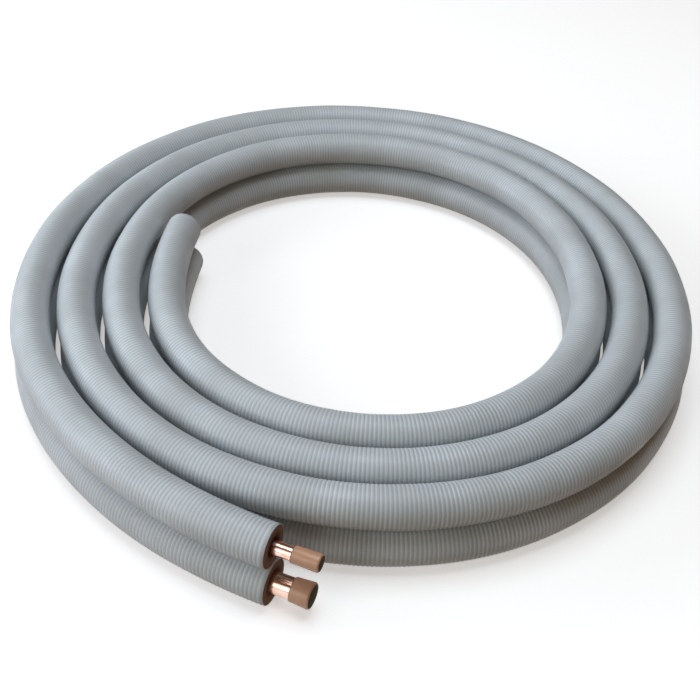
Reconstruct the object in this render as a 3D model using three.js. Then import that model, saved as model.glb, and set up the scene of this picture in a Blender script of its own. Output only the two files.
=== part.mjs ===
// A pair of insulated soft copper refrigerant tubes for a small split air conditioner, wound
// together as one loose flat coil that lies on the floor. The suction line is underneath and the
// liquid line lies on top of it, turn for turn. Each line is a copper tube in a foam sleeve, with
// a push-on cap on the end that stands out of the sleeve at the coil's outside.
// Millimetres, +Z up, floor at z = 0, the outer end at the front left.
import * as THREE from "three";

// copper tubes
const LIQUID_TUBE_DIAMETER = 6.35;
const SUCTION_TUBE_DIAMETER = 9.52;
const LIQUID_TUBE_WALL = 0.8;
const SUCTION_TUBE_WALL = 0.8;

// foam sleeves
const LIQUID_SLEEVE_WALL = 6.4;
const SUCTION_SLEEVE_WALL = 5.4;
const SLEEVE_BORE_CLEARANCE = 0.4; // radial, between a tube and its sleeve
const SLEEVE_STACK_GAP = 0.3; // between the lower sleeve and the upper one
const INNER_END_RECESS = 6; // the tube stops this far inside the sleeve at the coil's middle

// the coil, seen from above: it winds inwards clockwise from the outer end
const TURNS = 3.2765;
const CORE_RADIUS = 119; // centre line at the inner end, before the ovalness
const TURN_GAP = 1.2; // between neighbouring turns
const OUTER_END_BEARING = 261.2; // degrees from +X about the coil's centre
const OVAL_RISE = 11.2; // how far the turns are out of round
const OVAL_BEARING = 92.8;
const TURN_DRIFT_X = 0.5; // each turn inwards lies this much further over
const TURN_DRIFT_Y = 0.25;

// both ends are straighter than the turns, and their last stretch springs out
const TAIL_ANGLE = 60;
const TAIL_INSET = 15.8;
const TAIL_SPRING = 22.1;
const HEAD_ANGLE = 60;
const HEAD_INSET = 8.5;
const HEAD_SPRING = 9.7;

// bare copper and its caps at the outer end
const LIQUID_BARE_LENGTH = 8.8;
const SUCTION_BARE_LENGTH = 9;
const CAP_BORE_CLEARANCE = 0.3; // radial, and at the tube's end
const LIQUID_CAP_LENGTH = 12.6;
const SUCTION_CAP_LENGTH = 9.3;
const LIQUID_CAP_FLARE = 0.2; // the closed end is this much wider in radius than the mouth
const SUCTION_CAP_FLARE = 0.5;
const CAP_WALL = 0.4;
const CAP_END_WALL = 1.4;
const CAP_END_CHAMFER = 0.8;

// facets
const STATIONS_PER_TURN = 30;
const SHORTEST_STEP = 0.5; // of the step between stations
const SLEEVE_SIDES = 12;
const TUBE_SIDES = 12;
const BORE_SIDES = 8;
const CAP_SIDES = 16;

const liquidTubeRadius = LIQUID_TUBE_DIAMETER / 2;
const suctionTubeRadius = SUCTION_TUBE_DIAMETER / 2;
const liquidSleeveRadius = liquidTubeRadius + SLEEVE_BORE_CLEARANCE + LIQUID_SLEEVE_WALL;
const suctionSleeveRadius = suctionTubeRadius + SLEEVE_BORE_CLEARANCE + SUCTION_SLEEVE_WALL;
const suctionHeight = suctionSleeveRadius;
const liquidHeight = 2 * suctionSleeveRadius + SLEEVE_STACK_GAP + liquidSleeveRadius;
const turnPitch = 2 * Math.max(liquidSleeveRadius, suctionSleeveRadius) + TURN_GAP;
const turn = 2 * Math.PI;
const radians = THREE.MathUtils.degToRad;

// Centre line of the coil in plan, at the angle wound inwards from the outer end.
function coilPoint(wound, height) {
  const bearing = radians(OUTER_END_BEARING) - wound;
  const turnsIn = wound / turn;
  const tail = Math.max(0, 1 - wound / radians(TAIL_ANGLE));
  const head = Math.max(0, 1 - (TURNS * turn - wound) / radians(HEAD_ANGLE));
  const radius =
    CORE_RADIUS +
    turnPitch * (TURNS - turnsIn) +
    OVAL_RISE * Math.cos(2 * (bearing - radians(OVAL_BEARING))) +
    turnsIn * (TURN_DRIFT_X * Math.cos(bearing) + TURN_DRIFT_Y * Math.sin(bearing)) -
    TAIL_INSET * tail ** 2 +
    TAIL_SPRING * tail ** 3 -
    HEAD_INSET * head ** 2 +
    HEAD_SPRING * head ** 3;
  return new THREE.Vector3(radius * Math.cos(bearing), radius * Math.sin(bearing), height);
}

function coilDirection(wound) {
  const step = 1e-4;
  return coilPoint(wound + step, 0).sub(coilPoint(wound - step, 0)).normalize();
}

// A station stands a little outside the centre line, so that the straight stretches between
// stations touch it.
function stationPoint(wound, step, height) {
  const point = coilPoint(wound, height);
  const before = coilPoint(wound - step, height);
  const after = coilPoint(wound + step, height);
  const bulge = point.clone().sub(before.add(after).divideScalar(2));
  return point.addScaledVector(bulge, 0.25);
}

// A route through set stations, straight between them.
class StationRoute extends THREE.Curve {
  constructor(points, directions) {
    super();
    this.points = points;
    this.directions = directions;
  }
  at(list, share) {
    const place = share * (list.length - 1);
    const first = Math.min(Math.floor(place), list.length - 2);
    return list[first].clone().lerp(list[first + 1], place - first);
  }
  getPointAt(share) {
    return this.at(this.points, share);
  }
  getTangentAt(share) {
    return this.at(this.directions, share).normalize();
  }
}

// The coil at one height, with the outer end drawn out straight and the inner end cut back.
function coilRoute(height, outerExtension, innerCut) {
  const step = turn / STATIONS_PER_TURN;
  const last = Math.floor(TURNS * STATIONS_PER_TURN - SHORTEST_STEP) + 1;
  const wound = Array.from({ length: last }, (_, i) => i * step);
  const points = wound.map((angle) => stationPoint(angle, step, height));
  const directions = wound.map((angle) => coilDirection(angle));
  points[0] = coilPoint(0, height);
  points.push(coilPoint(TURNS * turn, height));
  directions.push(coilDirection(TURNS * turn));
  if (innerCut > 0) {
    const share = innerCut / points[last].distanceTo(points[last - 1]);
    points[last].lerp(points[last - 1], share);
    directions[last].lerp(directions[last - 1], share).normalize();
  }
  if (outerExtension > 0) {
    points.unshift(points[0].clone().addScaledVector(directions[0], -outerExtension));
    directions.unshift(directions[0].clone());
  }
  return new StationRoute(points, directions);
}

// A many-sided ring whose flats are as far from the middle as a circle of that radius, with one
// of them facing straight down.
function ringPoints(radius, sides) {
  const corner = radius / Math.cos(Math.PI / sides);
  return Array.from({ length: sides }, (_, i) => {
    const angle = ((i + 0.5) * turn) / sides;
    return new THREE.Vector2(corner * Math.cos(angle), corner * Math.sin(angle));
  });
}

function pipe(route, outerRadius, outerSides, boreRadius, boreSides) {
  const section = new THREE.Shape(ringPoints(outerRadius, outerSides));
  section.holes.push(new THREE.Path(ringPoints(boreRadius, boreSides)));
  return new THREE.ExtrudeGeometry(section, {
    steps: route.points.length - 1,
    extrudePath: route,
    bevelEnabled: false,
  });
}

function piece(name, geometry, colour, roughness, metalness) {
  const material = new THREE.MeshStandardMaterial({ color: colour, roughness, metalness });
  const mesh = new THREE.Mesh(geometry, material);
  mesh.name = name;
  return mesh;
}

function sleeve(name, height, tubeRadius, sleeveRadius) {
  const route = coilRoute(height, 0, 0);
  const bore = tubeRadius + SLEEVE_BORE_CLEARANCE;
  return piece(name, pipe(route, sleeveRadius, SLEEVE_SIDES, bore, BORE_SIDES), 0xc9ced2, 0.5, 0);
}

function tube(name, height, tubeRadius, wall, bareLength, capLength) {
  const inCap = capLength - CAP_END_WALL - CAP_BORE_CLEARANCE;
  const route = coilRoute(height, bareLength + inCap, INNER_END_RECESS);
  const geometry = pipe(route, tubeRadius, TUBE_SIDES, tubeRadius - wall, BORE_SIDES);
  return piece(name, geometry, 0xb8683f, 0.3, 1);
}

// A closed push-on cap, its axis along the straight end of the tube.
function cap(name, height, tubeRadius, bareLength, capLength, flare) {
  const corner = tubeRadius / Math.cos(Math.PI / TUBE_SIDES);
  const bore = (corner + CAP_BORE_CLEARANCE) / Math.cos(Math.PI / CAP_SIDES);
  const outside = bore + CAP_WALL;
  const profile = [
    [0, capLength - CAP_END_WALL],
    [bore, capLength - CAP_END_WALL],
    [bore, 0],
    [outside, 0],
    [outside + flare, capLength - CAP_END_CHAMFER],
    [outside + flare - CAP_END_CHAMFER, capLength],
    [0, capLength],
  ].map(([radius, along]) => new THREE.Vector2(radius, along));
  const mesh = piece(name, new THREE.LatheGeometry(profile, CAP_SIDES), 0xa9714c, 0.55, 0);
  const outwards = coilDirection(0).negate();
  mesh.position.copy(coilPoint(0, height)).addScaledVector(outwards, bareLength);
  mesh.quaternion.setFromUnitVectors(new THREE.Vector3(0, 1, 0), outwards);
  return mesh;
}

const lineSet = new THREE.Group();
lineSet.add(
  tube(
    "liquid_line_tube",
    liquidHeight,
    liquidTubeRadius,
    LIQUID_TUBE_WALL,
    LIQUID_BARE_LENGTH,
    LIQUID_CAP_LENGTH,
  ),
  tube(
    "suction_line_tube",
    suctionHeight,
    suctionTubeRadius,
    SUCTION_TUBE_WALL,
    SUCTION_BARE_LENGTH,
    SUCTION_CAP_LENGTH,
  ),
  sleeve("liquid_line_insulation", liquidHeight, liquidTubeRadius, liquidSleeveRadius),
  sleeve("suction_line_insulation", suctionHeight, suctionTubeRadius, suctionSleeveRadius),
  cap(
    "liquid_line_end_cap",
    liquidHeight,
    liquidTubeRadius,
    LIQUID_BARE_LENGTH,
    LIQUID_CAP_LENGTH,
    LIQUID_CAP_FLARE,
  ),
  cap(
    "suction_line_end_cap",
    suctionHeight,
    suctionTubeRadius,
    SUCTION_BARE_LENGTH,
    SUCTION_CAP_LENGTH,
    SUCTION_CAP_FLARE,
  ),
);

// The origin is the middle of the coil's footprint on the floor.
const extent = new THREE.Box3().setFromObject(lineSet, true);
lineSet.position.set(-(extent.min.x + extent.max.x) / 2, -(extent.min.y + extent.max.y) / 2, 0);
lineSet.position.z = -extent.min.z;

const object = new THREE.Group();
object.add(lineSet);

export default object;
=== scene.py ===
"""A coil of paired, insulated soft copper refrigerant tubes for a small split air conditioner: the
thin liquid line lies on the wide suction line, and both are wound together into one loose flat
coil. Metres, +Z up, the coil on the floor at z = 0, its outer end at the front left."""

import math

import bpy
import numpy as np
from mathutils import Matrix


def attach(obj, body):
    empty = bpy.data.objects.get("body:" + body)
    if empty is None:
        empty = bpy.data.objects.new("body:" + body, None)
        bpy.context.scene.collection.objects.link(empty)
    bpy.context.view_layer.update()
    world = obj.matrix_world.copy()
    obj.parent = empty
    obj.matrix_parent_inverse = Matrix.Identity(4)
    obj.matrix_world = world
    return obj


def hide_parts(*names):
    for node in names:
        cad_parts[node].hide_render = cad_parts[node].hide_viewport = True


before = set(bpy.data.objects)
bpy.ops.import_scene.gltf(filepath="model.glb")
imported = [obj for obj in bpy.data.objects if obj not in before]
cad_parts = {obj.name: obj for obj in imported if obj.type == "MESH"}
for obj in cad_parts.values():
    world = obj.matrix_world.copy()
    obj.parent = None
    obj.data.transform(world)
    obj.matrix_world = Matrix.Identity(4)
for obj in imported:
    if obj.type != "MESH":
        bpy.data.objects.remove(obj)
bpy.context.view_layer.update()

# Copper tubes. Two soft-drawn copper tubes, 1/4 in on top and 3/8 in below, each in one length
# with square cut ends. They are wound together, stand out of their sleeves at the coil's outer
# end and stop inside them at its inner end.
LIQUID_TUBE_RADIUS = 0.003175
SUCTION_TUBE_RADIUS = 0.00476
TUBE_WALL = 0.0008
CUT_LIP = 0.00015  # rounding of a cut end
LIQUID_HEIGHT = 0.031395  # of the line's middle above the floor
SUCTION_HEIGHT = 0.01056
LIQUID_BARE = 0.0088  # bare copper between the sleeve and the cap
SUCTION_BARE = 0.009
LIQUID_CAP_LENGTH = 0.0126
SUCTION_CAP_LENGTH = 0.0093
TUBE_SHORT_OF_CAP_END = 0.0017
INNER_RECESS = 0.006
TUBE_SIDES = 24
STUB_DEPTH = 0.01  # up to this far inside the sleeve the tube's rings lie close together
STUB_RINGS = 12
BURIED_RINGS = 520

HANDLED_COPPER = (0.84, 0.5, 0.36, 1)
BRIGHT_COPPER = (0.97, 0.71, 0.6, 1)
DIE_LINE_STRETCH = (2.0, 90.0, 1.0)  # die lines run along the tube

# Both lines follow one route, seen from above. It winds inwards clockwise from the outer end, a
# little out of round, and both ends spring outwards because nothing holds them down.
TURNS = 3.2765
CORE_RADIUS = 0.119
TURN_PITCH = 0.02232
OUTER_END_BEARING = math.radians(261.2)
OVAL_RISE = 0.0112
OVAL_BEARING = math.radians(92.8)
TURN_DRIFT = (0.0005, 0.00025)
TAIL_ANGLE = math.radians(60)
TAIL_INSET = 0.0158
TAIL_SPRING = 0.0221
HEAD_ANGLE = math.radians(60)
HEAD_INSET = 0.0085
HEAD_SPRING = 0.0097
COIL_MIDDLE = (0.0053657, 0.0069129)  # the spiral's centre, from the middle of the footprint
ROUTE_POINTS = 12001
DIRECTION_STEP = 1e-4  # radians
FULL_TURN = 2 * math.pi
ALL_WOUND = TURNS * FULL_TURN
UV_PER_METRE = 10


def coil_plan(wound):
    """Points of the route, seen from above, at angles wound inwards from the outer end."""
    wound = np.asarray(wound, float)
    bearing = OUTER_END_BEARING - wound
    turns_in = wound / FULL_TURN
    tail = np.clip(1 - wound / TAIL_ANGLE, 0, None)
    head = np.clip(1 - (ALL_WOUND - wound) / HEAD_ANGLE, 0, None)
    drift = TURN_DRIFT[0] * np.cos(bearing) + TURN_DRIFT[1] * np.sin(bearing)
    radius = (
        CORE_RADIUS
        + TURN_PITCH * (TURNS - turns_in)
        + OVAL_RISE * np.cos(2 * (bearing - OVAL_BEARING))
        + turns_in * drift
        - TAIL_INSET * tail**2
        + TAIL_SPRING * tail**3
        - HEAD_INSET * head**2
        + HEAD_SPRING * head**3
    )
    return np.stack(
        [radius * np.cos(bearing) + COIL_MIDDLE[0], radius * np.sin(bearing) + COIL_MIDDLE[1]], -1
    )


route_wound = np.linspace(0, ALL_WOUND, ROUTE_POINTS)
route_steps = np.linalg.norm(np.diff(coil_plan(route_wound), axis=0), axis=1)
route_lengths = np.concatenate([[0], np.cumsum(route_steps)])
COIL_LENGTH = float(route_lengths[-1])


def along_coil(run):
    """Centres and directions at lengths of line run from the sleeves' outer mouth, inwards.

    Before the mouth the line goes on straight."""
    run = np.asarray(run, float)
    inside = np.clip(run, 0, COIL_LENGTH)
    wound = np.interp(inside, route_lengths, route_wound)
    direction = coil_plan(wound + DIRECTION_STEP) - coil_plan(wound - DIRECTION_STEP)
    direction /= np.linalg.norm(direction, axis=1)[:, None]
    centre = coil_plan(wound) + direction * (run - inside)[:, None]
    return centre, direction


def skin_mesh(name, points, faces, slots, uv, materials):
    """A smooth mesh object whose faces carry material slots and one UV pair for each point."""
    mesh = bpy.data.meshes.new(name)
    mesh.from_pydata(points.tolist(), [], faces)
    for material in materials:
        mesh.materials.append(material)
    mesh.polygons.foreach_set("material_index", slots)
    mesh.polygons.foreach_set("use_smooth", [True] * len(faces))
    layer = mesh.uv_layers.new(name="line")
    corners = np.empty(len(mesh.loops), np.int32)
    mesh.loops.foreach_get("vertex_index", corners)
    layer.data.foreach_set("uv", uv[corners].astype(np.float32).ravel())
    mesh.validate()
    mesh.update()
    piece = bpy.data.objects.new(name, mesh)
    bpy.context.scene.collection.objects.link(piece)
    return piece


def swept(name, run, height, reach, sides, slots, materials, closed=True, along=None, across=None):
    """Sweeps rings along the coil. run and slots give each ring's place and the material of the
    band that follows it. reach gives each ring's radius, one number or one for each side. along
    and across give each ring's UV pair, where it isn't the run and the side."""
    centre, direction = along_coil(run)
    count = len(run)
    angle = np.arange(sides) * FULL_TURN / sides
    reach = np.broadcast_to(np.asarray(reach, float).reshape(count, -1), (count, sides))
    outwards = np.stack([direction[:, 1], -direction[:, 0]], -1)
    points = np.empty((count, sides, 3))
    points[:, :, :2] = (
        centre[:, None, :] + outwards[:, None, :] * (reach * np.cos(angle))[:, :, None]
    )
    points[:, :, 2] = height + reach * np.sin(angle)
    uv = np.empty((count, sides, 2))
    uv[:, :, 0] = (np.asarray(run) * UV_PER_METRE if along is None else along)[:, None]
    uv[:, :, 1] = angle / FULL_TURN if across is None else across[:, None]
    ring = np.arange(count if closed else count - 1)[:, None]
    side = np.arange(sides)
    next_ring = (ring + 1) % count
    next_side = (side + 1) % sides
    corners = (
        ring * sides + side,
        next_ring * sides + side,
        next_ring * sides + next_side,
        ring * sides + next_side,
    )
    faces = np.stack([corner.ravel() for corner in corners], -1).tolist()
    slots = np.repeat(slots[: len(ring)], sides).tolist()
    return skin_mesh(name, points.reshape(-1, 3), faces, slots, uv.reshape(-1, 2), materials)


class Finish:
    """A material, built up node by node round its main shader."""

    def __init__(self, name, colour, roughness, metallic=0.0):
        self.material = bpy.data.materials.new(name)
        self.material.use_nodes = True
        self.tree = self.material.node_tree
        self.main = self.tree.nodes["Principled BSDF"]
        self.set("Base Color", (*colour, 1))
        self.set("Roughness", roughness)
        self.set("Metallic", metallic)

    def set(self, socket, value):
        self.main.inputs[socket].default_value = value

    def use(self, socket, source):
        self.tree.links.new(source, self.main.inputs[socket])

    def node(self, kind, links, values=None, **settings):
        """Adds a node. Links and values go to its sockets, settings to the node itself."""
        node = self.tree.nodes.new(kind)
        for key, value in settings.items():
            setattr(node, key, value)
        for socket, value in (values or {}).items():
            node.inputs[socket].default_value = value
        for socket, source in links.items():
            self.tree.links.new(source, node.inputs[socket])
        return node

    def place(self):
        return self.node("ShaderNodeTexCoord", {}).outputs["Object"]

    def line(self):
        """The place on the line: along it, and round or across it."""
        return self.node("ShaderNodeUVMap", {}, uv_map="line").outputs["UV"]

    def line_share(self, which):
        """X is the share along the line, Y the one round or across it."""
        return self.node("ShaderNodeSeparateXYZ", {"Vector": self.line()}).outputs[which]

    def noise(self, place, scale, detail):
        values = {"Scale": scale, "Detail": detail}
        return self.node("ShaderNodeTexNoise", {"Vector": place}, values).outputs["Fac"]

    def blend(self, source, low, low_colour, high, high_colour):
        """A colour that changes from one to the other while the source goes from low to high."""
        ramp = self.node("ShaderNodeValToRGB", {"Fac": source})
        first, last = ramp.color_ramp.elements
        first.position = low
        first.color = low_colour
        last.position = high
        last.color = high_colour
        return ramp.outputs["Color"]

    def span(self, source, low, high, at_low, at_high):
        """A value that changes from at_low to at_high while the source goes from low to high."""
        values = {"From Min": low, "From Max": high, "To Min": at_low, "To Max": at_high}
        return self.node("ShaderNodeMapRange", {"Value": source}, values).outputs["Result"]

    def cover(self, under, colour, share):
        links = {"Factor": share, "A": under}
        return self.node("ShaderNodeMix", links, {"B": colour}, data_type="RGBA").outputs["Result"]

    def relief(self, source, strength, depth):
        values = {"Strength": strength, "Distance": depth}
        self.use("Normal", self.node("ShaderNodeBump", {"Height": source}, values).outputs["Normal"])


def drawn_copper():
    """Bright drawn copper: fine die lines along the tube, and darker handling marks."""
    finish = Finish("drawn_copper", (0.9, 0.58, 0.46), 0.2, 1.0)
    stretch = {"Scale": DIE_LINE_STRETCH}
    lines = finish.node("ShaderNodeMapping", {"Vector": finish.line()}, stretch).outputs["Vector"]
    lines = finish.noise(lines, scale=1.0, detail=3.0)
    marks = finish.noise(finish.place(), scale=220.0, detail=4.0)
    finish.use("Base Color", finish.blend(marks, 0.35, HANDLED_COPPER, 0.62, BRIGHT_COPPER))
    finish.use("Roughness", finish.span(lines, 0.3, 0.7, at_low=0.12, at_high=0.26))
    finish.relief(lines, strength=0.12, depth=0.0002)
    return finish.material


copper = drawn_copper()


def copper_tube(node, height, radius, bare, cap_length):
    """The whole tube: outside, rounded cut lips and bore, closed round both ends."""
    start = -(bare + cap_length - TUBE_SHORT_OF_CAP_END)
    stop = COIL_LENGTH - INNER_RECESS
    bore = radius - TUBE_WALL
    stub = np.linspace(start + CUT_LIP, STUB_DEPTH, STUB_RINGS)
    buried = np.linspace(STUB_DEPTH, stop - CUT_LIP, BURIED_RINGS)[1:]
    wall = np.concatenate([stub, buried])
    run = np.concatenate([[start], wall, [stop, stop], wall[::-1], [start]])
    reach = np.concatenate(
        [
            [radius - CUT_LIP],
            np.full(len(wall), radius),
            [radius - CUT_LIP, bore + CUT_LIP],
            np.full(len(wall), bore),
            [bore + CUT_LIP],
        ]
    )
    slots = np.zeros(len(run), int)
    tube = swept(node + "_drawn", run, height, reach, TUBE_SIDES, slots, [copper])
    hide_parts(node)
    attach(tube, "root")
    return tube


copper_tube(
    "liquid_line_tube", LIQUID_HEIGHT, LIQUID_TUBE_RADIUS, LIQUID_BARE, LIQUID_CAP_LENGTH
)
copper_tube(
    "suction_line_tube", SUCTION_HEIGHT, SUCTION_TUBE_RADIUS, SUCTION_BARE, SUCTION_CAP_LENGTH
)

# Foam sleeves. Closed-cell foam extruded round each tube, with an off-white film skin on it that
# is embossed with fine rings. The ends are cut with a knife and show the brown foam inside.
LIQUID_SLEEVE_RADIUS = 0.009975
SUCTION_SLEEVE_RADIUS = 0.01056
SLEEVE_CLEARANCE = 0.0004
SLEEVE_SIDES = 18
BORE_STATIONS = 240

RING_PITCH = 0.00187
RING_RISE = 0.00042
RING_STATIONS = 3
RING_UNEVENNESS = 0.2
RING_WAVES = (173, 61)  # radians a metre
SLACK = 0.00007  # how far the film lies slack
SLACK_WAVES = (83, 37)  # radians a metre

FILM_EDGE = 0.0003  # how far the cut edge of the film is drawn in
FACE_EDGE = 0.00065
FACE_RINGS = 4
MOUTH_FLARE = 0.0011  # the cut mouth of the bore is torn open by this much
MOUTH_TEAR = 0.002
MOUTH_TEAR_SHARE = 0.45
MOUTH_DEPTH = 0.005

DULL_FILM = (0.55, 0.6, 0.625, 1)
CLEAN_FILM = (0.66, 0.725, 0.775, 1)
# painted shade in the grooves between the film's rings
GROOVE_SHADE = (0.36, 0.36, 0.34, 1)
# painted shade and painted copper reflection at the bore
BORE_SHADE_AND_REFLECTION = (0.07, 0.016, 0.012, 1)
RIM_FOAM = (0.3, 0.185, 0.13, 1)
# painted shade inside the foam's open cells
OPEN_CELL_SHADE = (0.03, 0.012, 0.01, 1)


def embossed_film():
    """Off-white film skin: slightly glossy, dulled in patches, with painted shade in the grooves."""
    finish = Finish("embossed_film", (0.66, 0.69, 0.7), 0.42)
    finish.set("Specular IOR Level", 0.45)
    place = finish.place()
    patches = finish.noise(place, scale=38.0, detail=5.0)
    tone = finish.blend(patches, 0.3, DULL_FILM, 0.7, CLEAN_FILM)
    ring_turn = {1: FULL_TURN / (RING_PITCH * UV_PER_METRE)}
    along = finish.line_share("X")
    turned = finish.node("ShaderNodeMath", {0: along}, ring_turn, operation="MULTIPLY")
    wave = finish.node("ShaderNodeMath", {0: turned.outputs[0]}, operation="COSINE")
    # painted shade: the grooves between the rings are darkened where shade falls
    groove = finish.span(wave.outputs[0], -1.0, 0.2, at_low=0.55, at_high=0.0)
    finish.use("Base Color", finish.cover(tone, GROOVE_SHADE, groove))
    finish.use("Roughness", finish.span(patches, 0.3, 0.7, at_low=0.5, at_high=0.34))
    finish.relief(finish.noise(place, scale=900.0, detail=3.0), strength=0.2, depth=0.0002)
    return finish.material


def cut_foam():
    """Knife-cut foam, brown and matte; painted shade and copper reflection darken its bore, painted
    shade its cells.
    """
    finish = Finish("cut_foam", (0.1, 0.055, 0.04), 0.85)
    finish.set("Specular IOR Level", 0.25)
    voronoi = finish.node("ShaderNodeTexVoronoi", {"Vector": finish.place()}, {"Scale": 1700.0})
    cells = voronoi.outputs["Distance"]
    # painted shade and painted copper reflection: the foam darkens and reddens towards the bore
    tone = finish.blend(finish.line_share("Y"), 0.42, BORE_SHADE_AND_REFLECTION, 0.75, RIM_FOAM)
    # painted shade: the open cells are darkened where shade falls into them
    pore_shade = finish.span(cells, 0.1, 0.6, at_low=0.45, at_high=0.0)
    finish.use("Base Color", finish.cover(tone, OPEN_CELL_SHADE, pore_shade))
    finish.relief(cells, strength=0.6, depth=0.0003)
    return finish.material


film = embossed_film()
foam = cut_foam()


def ringed_skin(radius, seed):
    """The places of the skin's rings along the coil, and their uneven radii on each side."""
    rings = int(COIL_LENGTH / RING_PITCH)
    margin = (COIL_LENGTH - rings * RING_PITCH) / 2
    run = np.arange(RING_STATIONS * rings + 1) * RING_PITCH / RING_STATIONS + margin
    angle = np.arange(SLEEVE_SIDES) * FULL_TURN / SLEEVE_SIDES
    beat = np.sin(run * RING_WAVES[0] + seed) * np.sin(run * RING_WAVES[1] + 2 * seed)
    groove = RING_RISE * (1 - np.cos(run * FULL_TURN / RING_PITCH)) / 2
    slack = SLACK * (
        2
        + np.sin(run[:, None] * SLACK_WAVES[0] + 2 * angle + seed)
        + np.sin(run[:, None] * SLACK_WAVES[1] - angle + 3 * seed)
    )
    depth = 1 - RING_UNEVENNESS + RING_UNEVENNESS * beat
    return run, radius - (groove * depth)[:, None] - slack


def foam_sleeve(node, height, radius, tube_radius, seed):
    """Ringed skin from mouth to mouth, then the cut faces and the bore, as one closed skin."""
    skin_run, skin = ringed_skin(radius, seed)
    edge = [radius - FILM_EDGE]
    bore = tube_radius + SLEEVE_CLEARANCE
    face = np.linspace(radius - FACE_EDGE, bore + MOUTH_FLARE, FACE_RINGS)
    torn = [bore + MOUTH_TEAR_SHARE * MOUTH_FLARE]
    inside = np.linspace(MOUTH_DEPTH, COIL_LENGTH - MOUTH_DEPTH, BORE_STATIONS)
    bands = (
        (skin_run, skin),
        ([COIL_LENGTH], edge),
        (np.full(FACE_RINGS, COIL_LENGTH), face),
        ([COIL_LENGTH - MOUTH_TEAR], torn),
        (inside[::-1], np.full(BORE_STATIONS, bore)),
        ([MOUTH_TEAR], torn),
        (np.zeros(FACE_RINGS), face[::-1]),
        ([0], edge),
    )
    run = np.concatenate([band_run for band_run, _ in bands])
    reach = np.concatenate(
        [
            np.broadcast_to(np.reshape(band, (len(band), -1)), (len(band), SLEEVE_SIDES))
            for _, band in bands
        ]
    )
    slots = np.ones(len(run), int)
    slots[: len(skin_run) + 1] = 0
    slots[-2:] = 0
    sleeve = swept(
        node + "_skinned",
        run,
        height,
        reach,
        SLEEVE_SIDES,
        slots,
        [film, foam],
        across=reach.mean(axis=1) / radius,
    )
    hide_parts(node)
    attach(sleeve, "root")
    return sleeve


foam_sleeve(
    "liquid_line_insulation", LIQUID_HEIGHT, LIQUID_SLEEVE_RADIUS, LIQUID_TUBE_RADIUS, seed=0.7
)
foam_sleeve(
    "suction_line_insulation", SUCTION_HEIGHT, SUCTION_SLEEVE_RADIUS, SUCTION_TUBE_RADIUS, seed=4.1
)

# End caps. Soft plastic caps pushed over the bare copper ends to keep dirt out. They are frosted,
# so the copper shows through as a paler matte brown; the closed end is dark olive, painted shade of
# the hollow tube end.
LIQUID_CAP_FLARE = 0.0002  # the closed end is this much wider in radius than the mouth
SUCTION_CAP_FLARE = 0.0005
CAP_WALL = 0.0004
CAP_END_WALL = 0.0014
CAP_BORE_CLEARANCE = 0.00015
CAP_BORE_CORNER = 0.0004
CAP_LIP = 0.0001
CAP_CORNER = 0.0008
CAP_CORNER_RINGS = 7
CAP_CROWN = 0.0004
CAP_SIDES = 48
CAP_FLANK_SHARES = (0.1, 0.5)
CAP_CROWN_SHARES = (0.8, 0.6, 0.4, 0.2, 0.03)
CAP_AXIS_GAP = 0.0002  # the skin of the bore's end starts this far from the axis

MOUTH_SHADE = (0.2, 0.1, 0.06, 1)
FROSTED_COPPER = (0.58, 0.31, 0.18, 1)
FROST = (0.72, 0.45, 0.3, 1)
# painted shade of the hollow tube end behind the frosted cap
HOLLOW_SHADE_OLIVE = (0.07, 0.053, 0.028, 1)
CLOUDY_HOLLOW_SHADE = (0.13, 0.1, 0.06, 1)


def frosted_plastic():
    """Frosted soft plastic over copper: a pale, matte copper brown."""
    finish = Finish("frosted_cap", (0.46, 0.26, 0.18), 0.42)
    finish.set("Coat Weight", 0.4)
    finish.set("Coat Roughness", 0.22)
    tone = finish.blend(finish.line_share("X"), 0.01, MOUTH_SHADE, 0.05, FROSTED_COPPER)
    cloud = finish.noise(finish.place(), scale=300.0, detail=4.0)
    veil = finish.span(cloud, 0.35, 0.75, at_low=0.0, at_high=0.25)
    finish.use("Base Color", finish.cover(tone, FROST, veil))
    finish.relief(cloud, strength=0.15, depth=0.0002)
    return finish.material


def shaded_hollow_end():
    """The closed end over the open tube: dull dark olive, painted shade of the hollow, a little
    cloudy.
    """
    finish = Finish("shaded_hollow_cap_end", (0.1, 0.08, 0.045), 0.75)
    finish.set("Specular IOR Level", 0.1)
    cloud = finish.noise(finish.place(), scale=400.0, detail=3.0)
    # painted shade: the closed end is darkened as the shaded hollow behind it
    finish.use("Base Color", finish.blend(cloud, 0.35, HOLLOW_SHADE_OLIVE, 0.65, CLOUDY_HOLLOW_SHADE))
    return finish.material


frosted = frosted_plastic()
end_disc = shaded_hollow_end()


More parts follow.
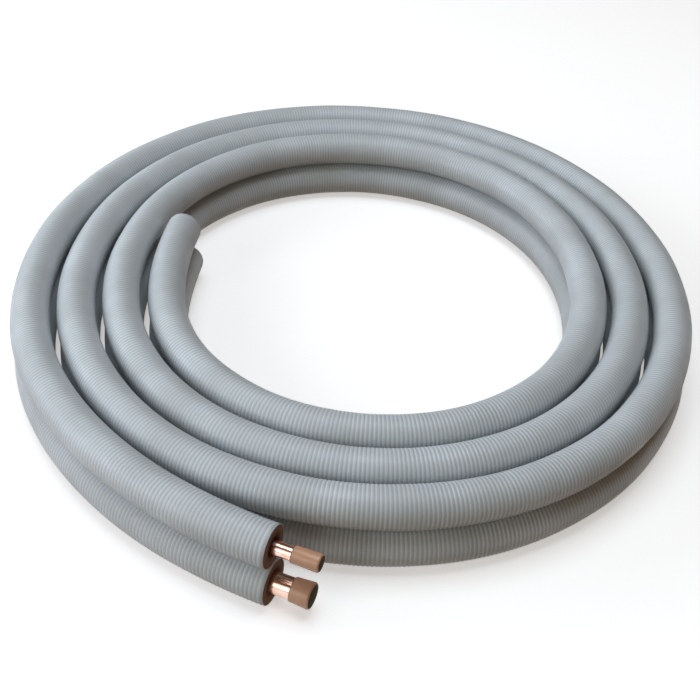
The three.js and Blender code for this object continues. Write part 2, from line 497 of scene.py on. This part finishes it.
def push_on_cap(node, height, tube_radius, bare, length, flare):
    """A cup turned about the tube's straight end, a little wider at its closed, crowned end."""
    bore = tube_radius + CAP_BORE_CLEARANCE
    bore_end = length - CAP_END_WALL
    outside = bore + CAP_WALL
    wide = outside + flare
    shoulder = length - CAP_CROWN
    corner = [
        (wide - CAP_CORNER * (1 - math.cos(a)), shoulder - CAP_CORNER * (1 - math.sin(a)))
        for a in np.linspace(0, math.pi / 2, CAP_CORNER_RINGS)
    ]
    crown = [
        ((wide - CAP_CORNER) * share, length - CAP_CROWN * share**2)
        for share in CAP_CROWN_SHARES
    ]
    flank = [(outside + share * flare, share * length) for share in CAP_FLANK_SHARES]
    profile = [
        (CAP_AXIS_GAP, bore_end),
        (bore - CAP_BORE_CORNER, bore_end),
        (bore, bore_end - CAP_BORE_CORNER),
        (bore, CAP_LIP),
        (bore + CAP_LIP, 0.0),
        (outside - CAP_LIP, 0.0),
        (outside, CAP_LIP),
        *flank,
        *corner,
        *crown,
    ]
    reach, along = np.array(profile).T
    slots = np.zeros(len(profile), int)
    slots[-len(crown) - 2 :] = 1
    cap = swept(
        node + "_moulded",
        -bare - along,
        height,
        reach,
        CAP_SIDES,
        slots,
        [frosted, end_disc],
        closed=False,
        along=along / length,
    )
    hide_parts(node)
    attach(cap, "root")
    return cap


push_on_cap(
    "liquid_line_end_cap",
    LIQUID_HEIGHT,
    LIQUID_TUBE_RADIUS,
    LIQUID_BARE,
    LIQUID_CAP_LENGTH,
    LIQUID_CAP_FLARE,
)
push_on_cap(
    "suction_line_end_cap",
    SUCTION_HEIGHT,
    SUCTION_TUBE_RADIUS,
    SUCTION_BARE,
    SUCTION_CAP_LENGTH,
    SUCTION_CAP_FLARE,
)

# Studio floor and dome. The coil lies on a plain pale floor that glows a little, so it stays
# pale. A pale dome closes the studio at the horizon. It only shows: it lights and shades nothing.
FLOOR_LEVEL = -0.0002
FLOOR_REACH = 30
FLOOR_GLOW = 0.45
DOME_RADIUS = 3.0
DOME_TOP = 0.49 * math.pi
DOME_RINGS = 10
DOME_SIDES = 48
DOME_GLOW = 0.8


def studio_piece(name, points, faces, grey, roughness, glow):
    """A plain grey surface that gives off a little white light of its own."""
    paint = Finish(name + "_paint", (grey, grey, grey), roughness)
    paint.set("Emission Color", (1, 1, 1, 1))
    paint.set("Emission Strength", glow)
    mesh = bpy.data.meshes.new(name)
    mesh.from_pydata(points, [], faces)
    mesh.materials.append(paint.material)
    piece = bpy.data.objects.new(name, mesh)
    bpy.context.scene.collection.objects.link(piece)
    piece.visible_diffuse = False
    return piece


floor_points = [
    (x * FLOOR_REACH, y * FLOOR_REACH, FLOOR_LEVEL) for x, y in ((-1, -1), (1, -1), (1, 1), (-1, 1))
]
floor = studio_piece("floor", floor_points, [(0, 1, 2, 3)], 0.9, 0.9, FLOOR_GLOW)

dome_points = [
    (
        DOME_RADIUS * math.cos(rise) * math.cos(bearing),
        DOME_RADIUS * math.cos(rise) * math.sin(bearing),
        DOME_RADIUS * math.sin(rise) + FLOOR_LEVEL,
    )
    for rise in np.linspace(0, DOME_TOP, DOME_RINGS)
    for bearing in np.arange(DOME_SIDES) * FULL_TURN / DOME_SIDES
]
dome_faces = [
    (
        DOME_SIDES * ring + side,
        DOME_SIDES * ring + (side + 1) % DOME_SIDES,
        DOME_SIDES * (ring + 1) + (side + 1) % DOME_SIDES,
        DOME_SIDES * (ring + 1) + side,
    )
    for ring in range(DOME_RINGS - 1)
    for side in range(DOME_SIDES)
]
dome = studio_piece("studio_dome", dome_points, dome_faces, 0.0, 1.0, DOME_GLOW)
dome.visible_glossy = False
dome.visible_shadow = False

# Studio light. Four broad, soft, slightly cool lights stand to the left, above, at the front left
# and at the back left, all turned to the coil. A weak warm dimness comes from all round.
LIGHT_SIZE = 1.1
SHADE_COLOUR = (1.0, 0.63, 0.36, 1)
SHADE_STRENGTH = 0.114

world = bpy.data.worlds.new("studio")
bpy.context.scene.world = world
world.use_nodes = True
shade = world.node_tree.nodes["Background"]
shade.inputs["Color"].default_value = SHADE_COLOUR
shade.inputs["Strength"].default_value = SHADE_STRENGTH


def soft_light(name, place, watts, colour):
    lamp = bpy.data.lights.new(name, "AREA")
    lamp.shape = "DISK"
    lamp.size = LIGHT_SIZE
    lamp.energy = watts
    lamp.color = colour
    holder = bpy.data.objects.new(name, lamp)
    bpy.context.scene.collection.objects.link(holder)
    holder.location = place
    x, y, z = place
    tilt = math.acos(z / math.hypot(x, y, z))
    holder.rotation_euler = (tilt, 0, math.atan2(y, x) + math.pi / 2)


soft_light("left_light", (-1.45, 0.0, 0.5), 9.5, (0.78, 0.84, 1.0))
soft_light("top_light", (0.0, 0.0, 1.55), 11.6, (0.83, 0.92, 1.0))
soft_light("left_front_light", (-1.05, -1.05, 0.6), 6.7, (0.96, 1.0, 0.97))
soft_light("left_back_light", (-1.0, 1.05, 0.6), 3.9, (0.88, 1.0, 0.97))

# Camera. It looks down on the coil from the front, turned a little about its own axis. Its place
# and its focal length, in pixels of the picture, follow from how the real coil's turns lie in it.
CAMERA_AIM = (-0.000539, -0.024526)
CAMERA_DISTANCE = 0.58635
CAMERA_RISE = math.radians(36.851)
CAMERA_ROLL = math.radians(3.183)
FOCAL_PIXELS = 1076.6
IMAGE_PIXELS = 700
SENSOR_WIDTH = 36

camera_data = bpy.data.cameras.new("camera")
camera_data.sensor_width = SENSOR_WIDTH
camera_data.lens = SENSOR_WIDTH * FOCAL_PIXELS / IMAGE_PIXELS
camera_data.clip_start = 0.01
camera = bpy.data.objects.new("camera", camera_data)
bpy.context.scene.collection.objects.link(camera)
bpy.context.scene.camera = camera
camera_back = CAMERA_DISTANCE * math.cos(CAMERA_RISE)
camera_height = CAMERA_DISTANCE * math.sin(CAMERA_RISE)
camera.matrix_world = (
    Matrix.Translation((CAMERA_AIM[0], CAMERA_AIM[1] - camera_back, camera_height))
    @ Matrix.Rotation(math.pi / 2 - CAMERA_RISE, 4, "X")
    @ Matrix.Rotation(CAMERA_ROLL, 4, "Z")
)
bpy.context.scene.view_settings.view_transform = "Standard"
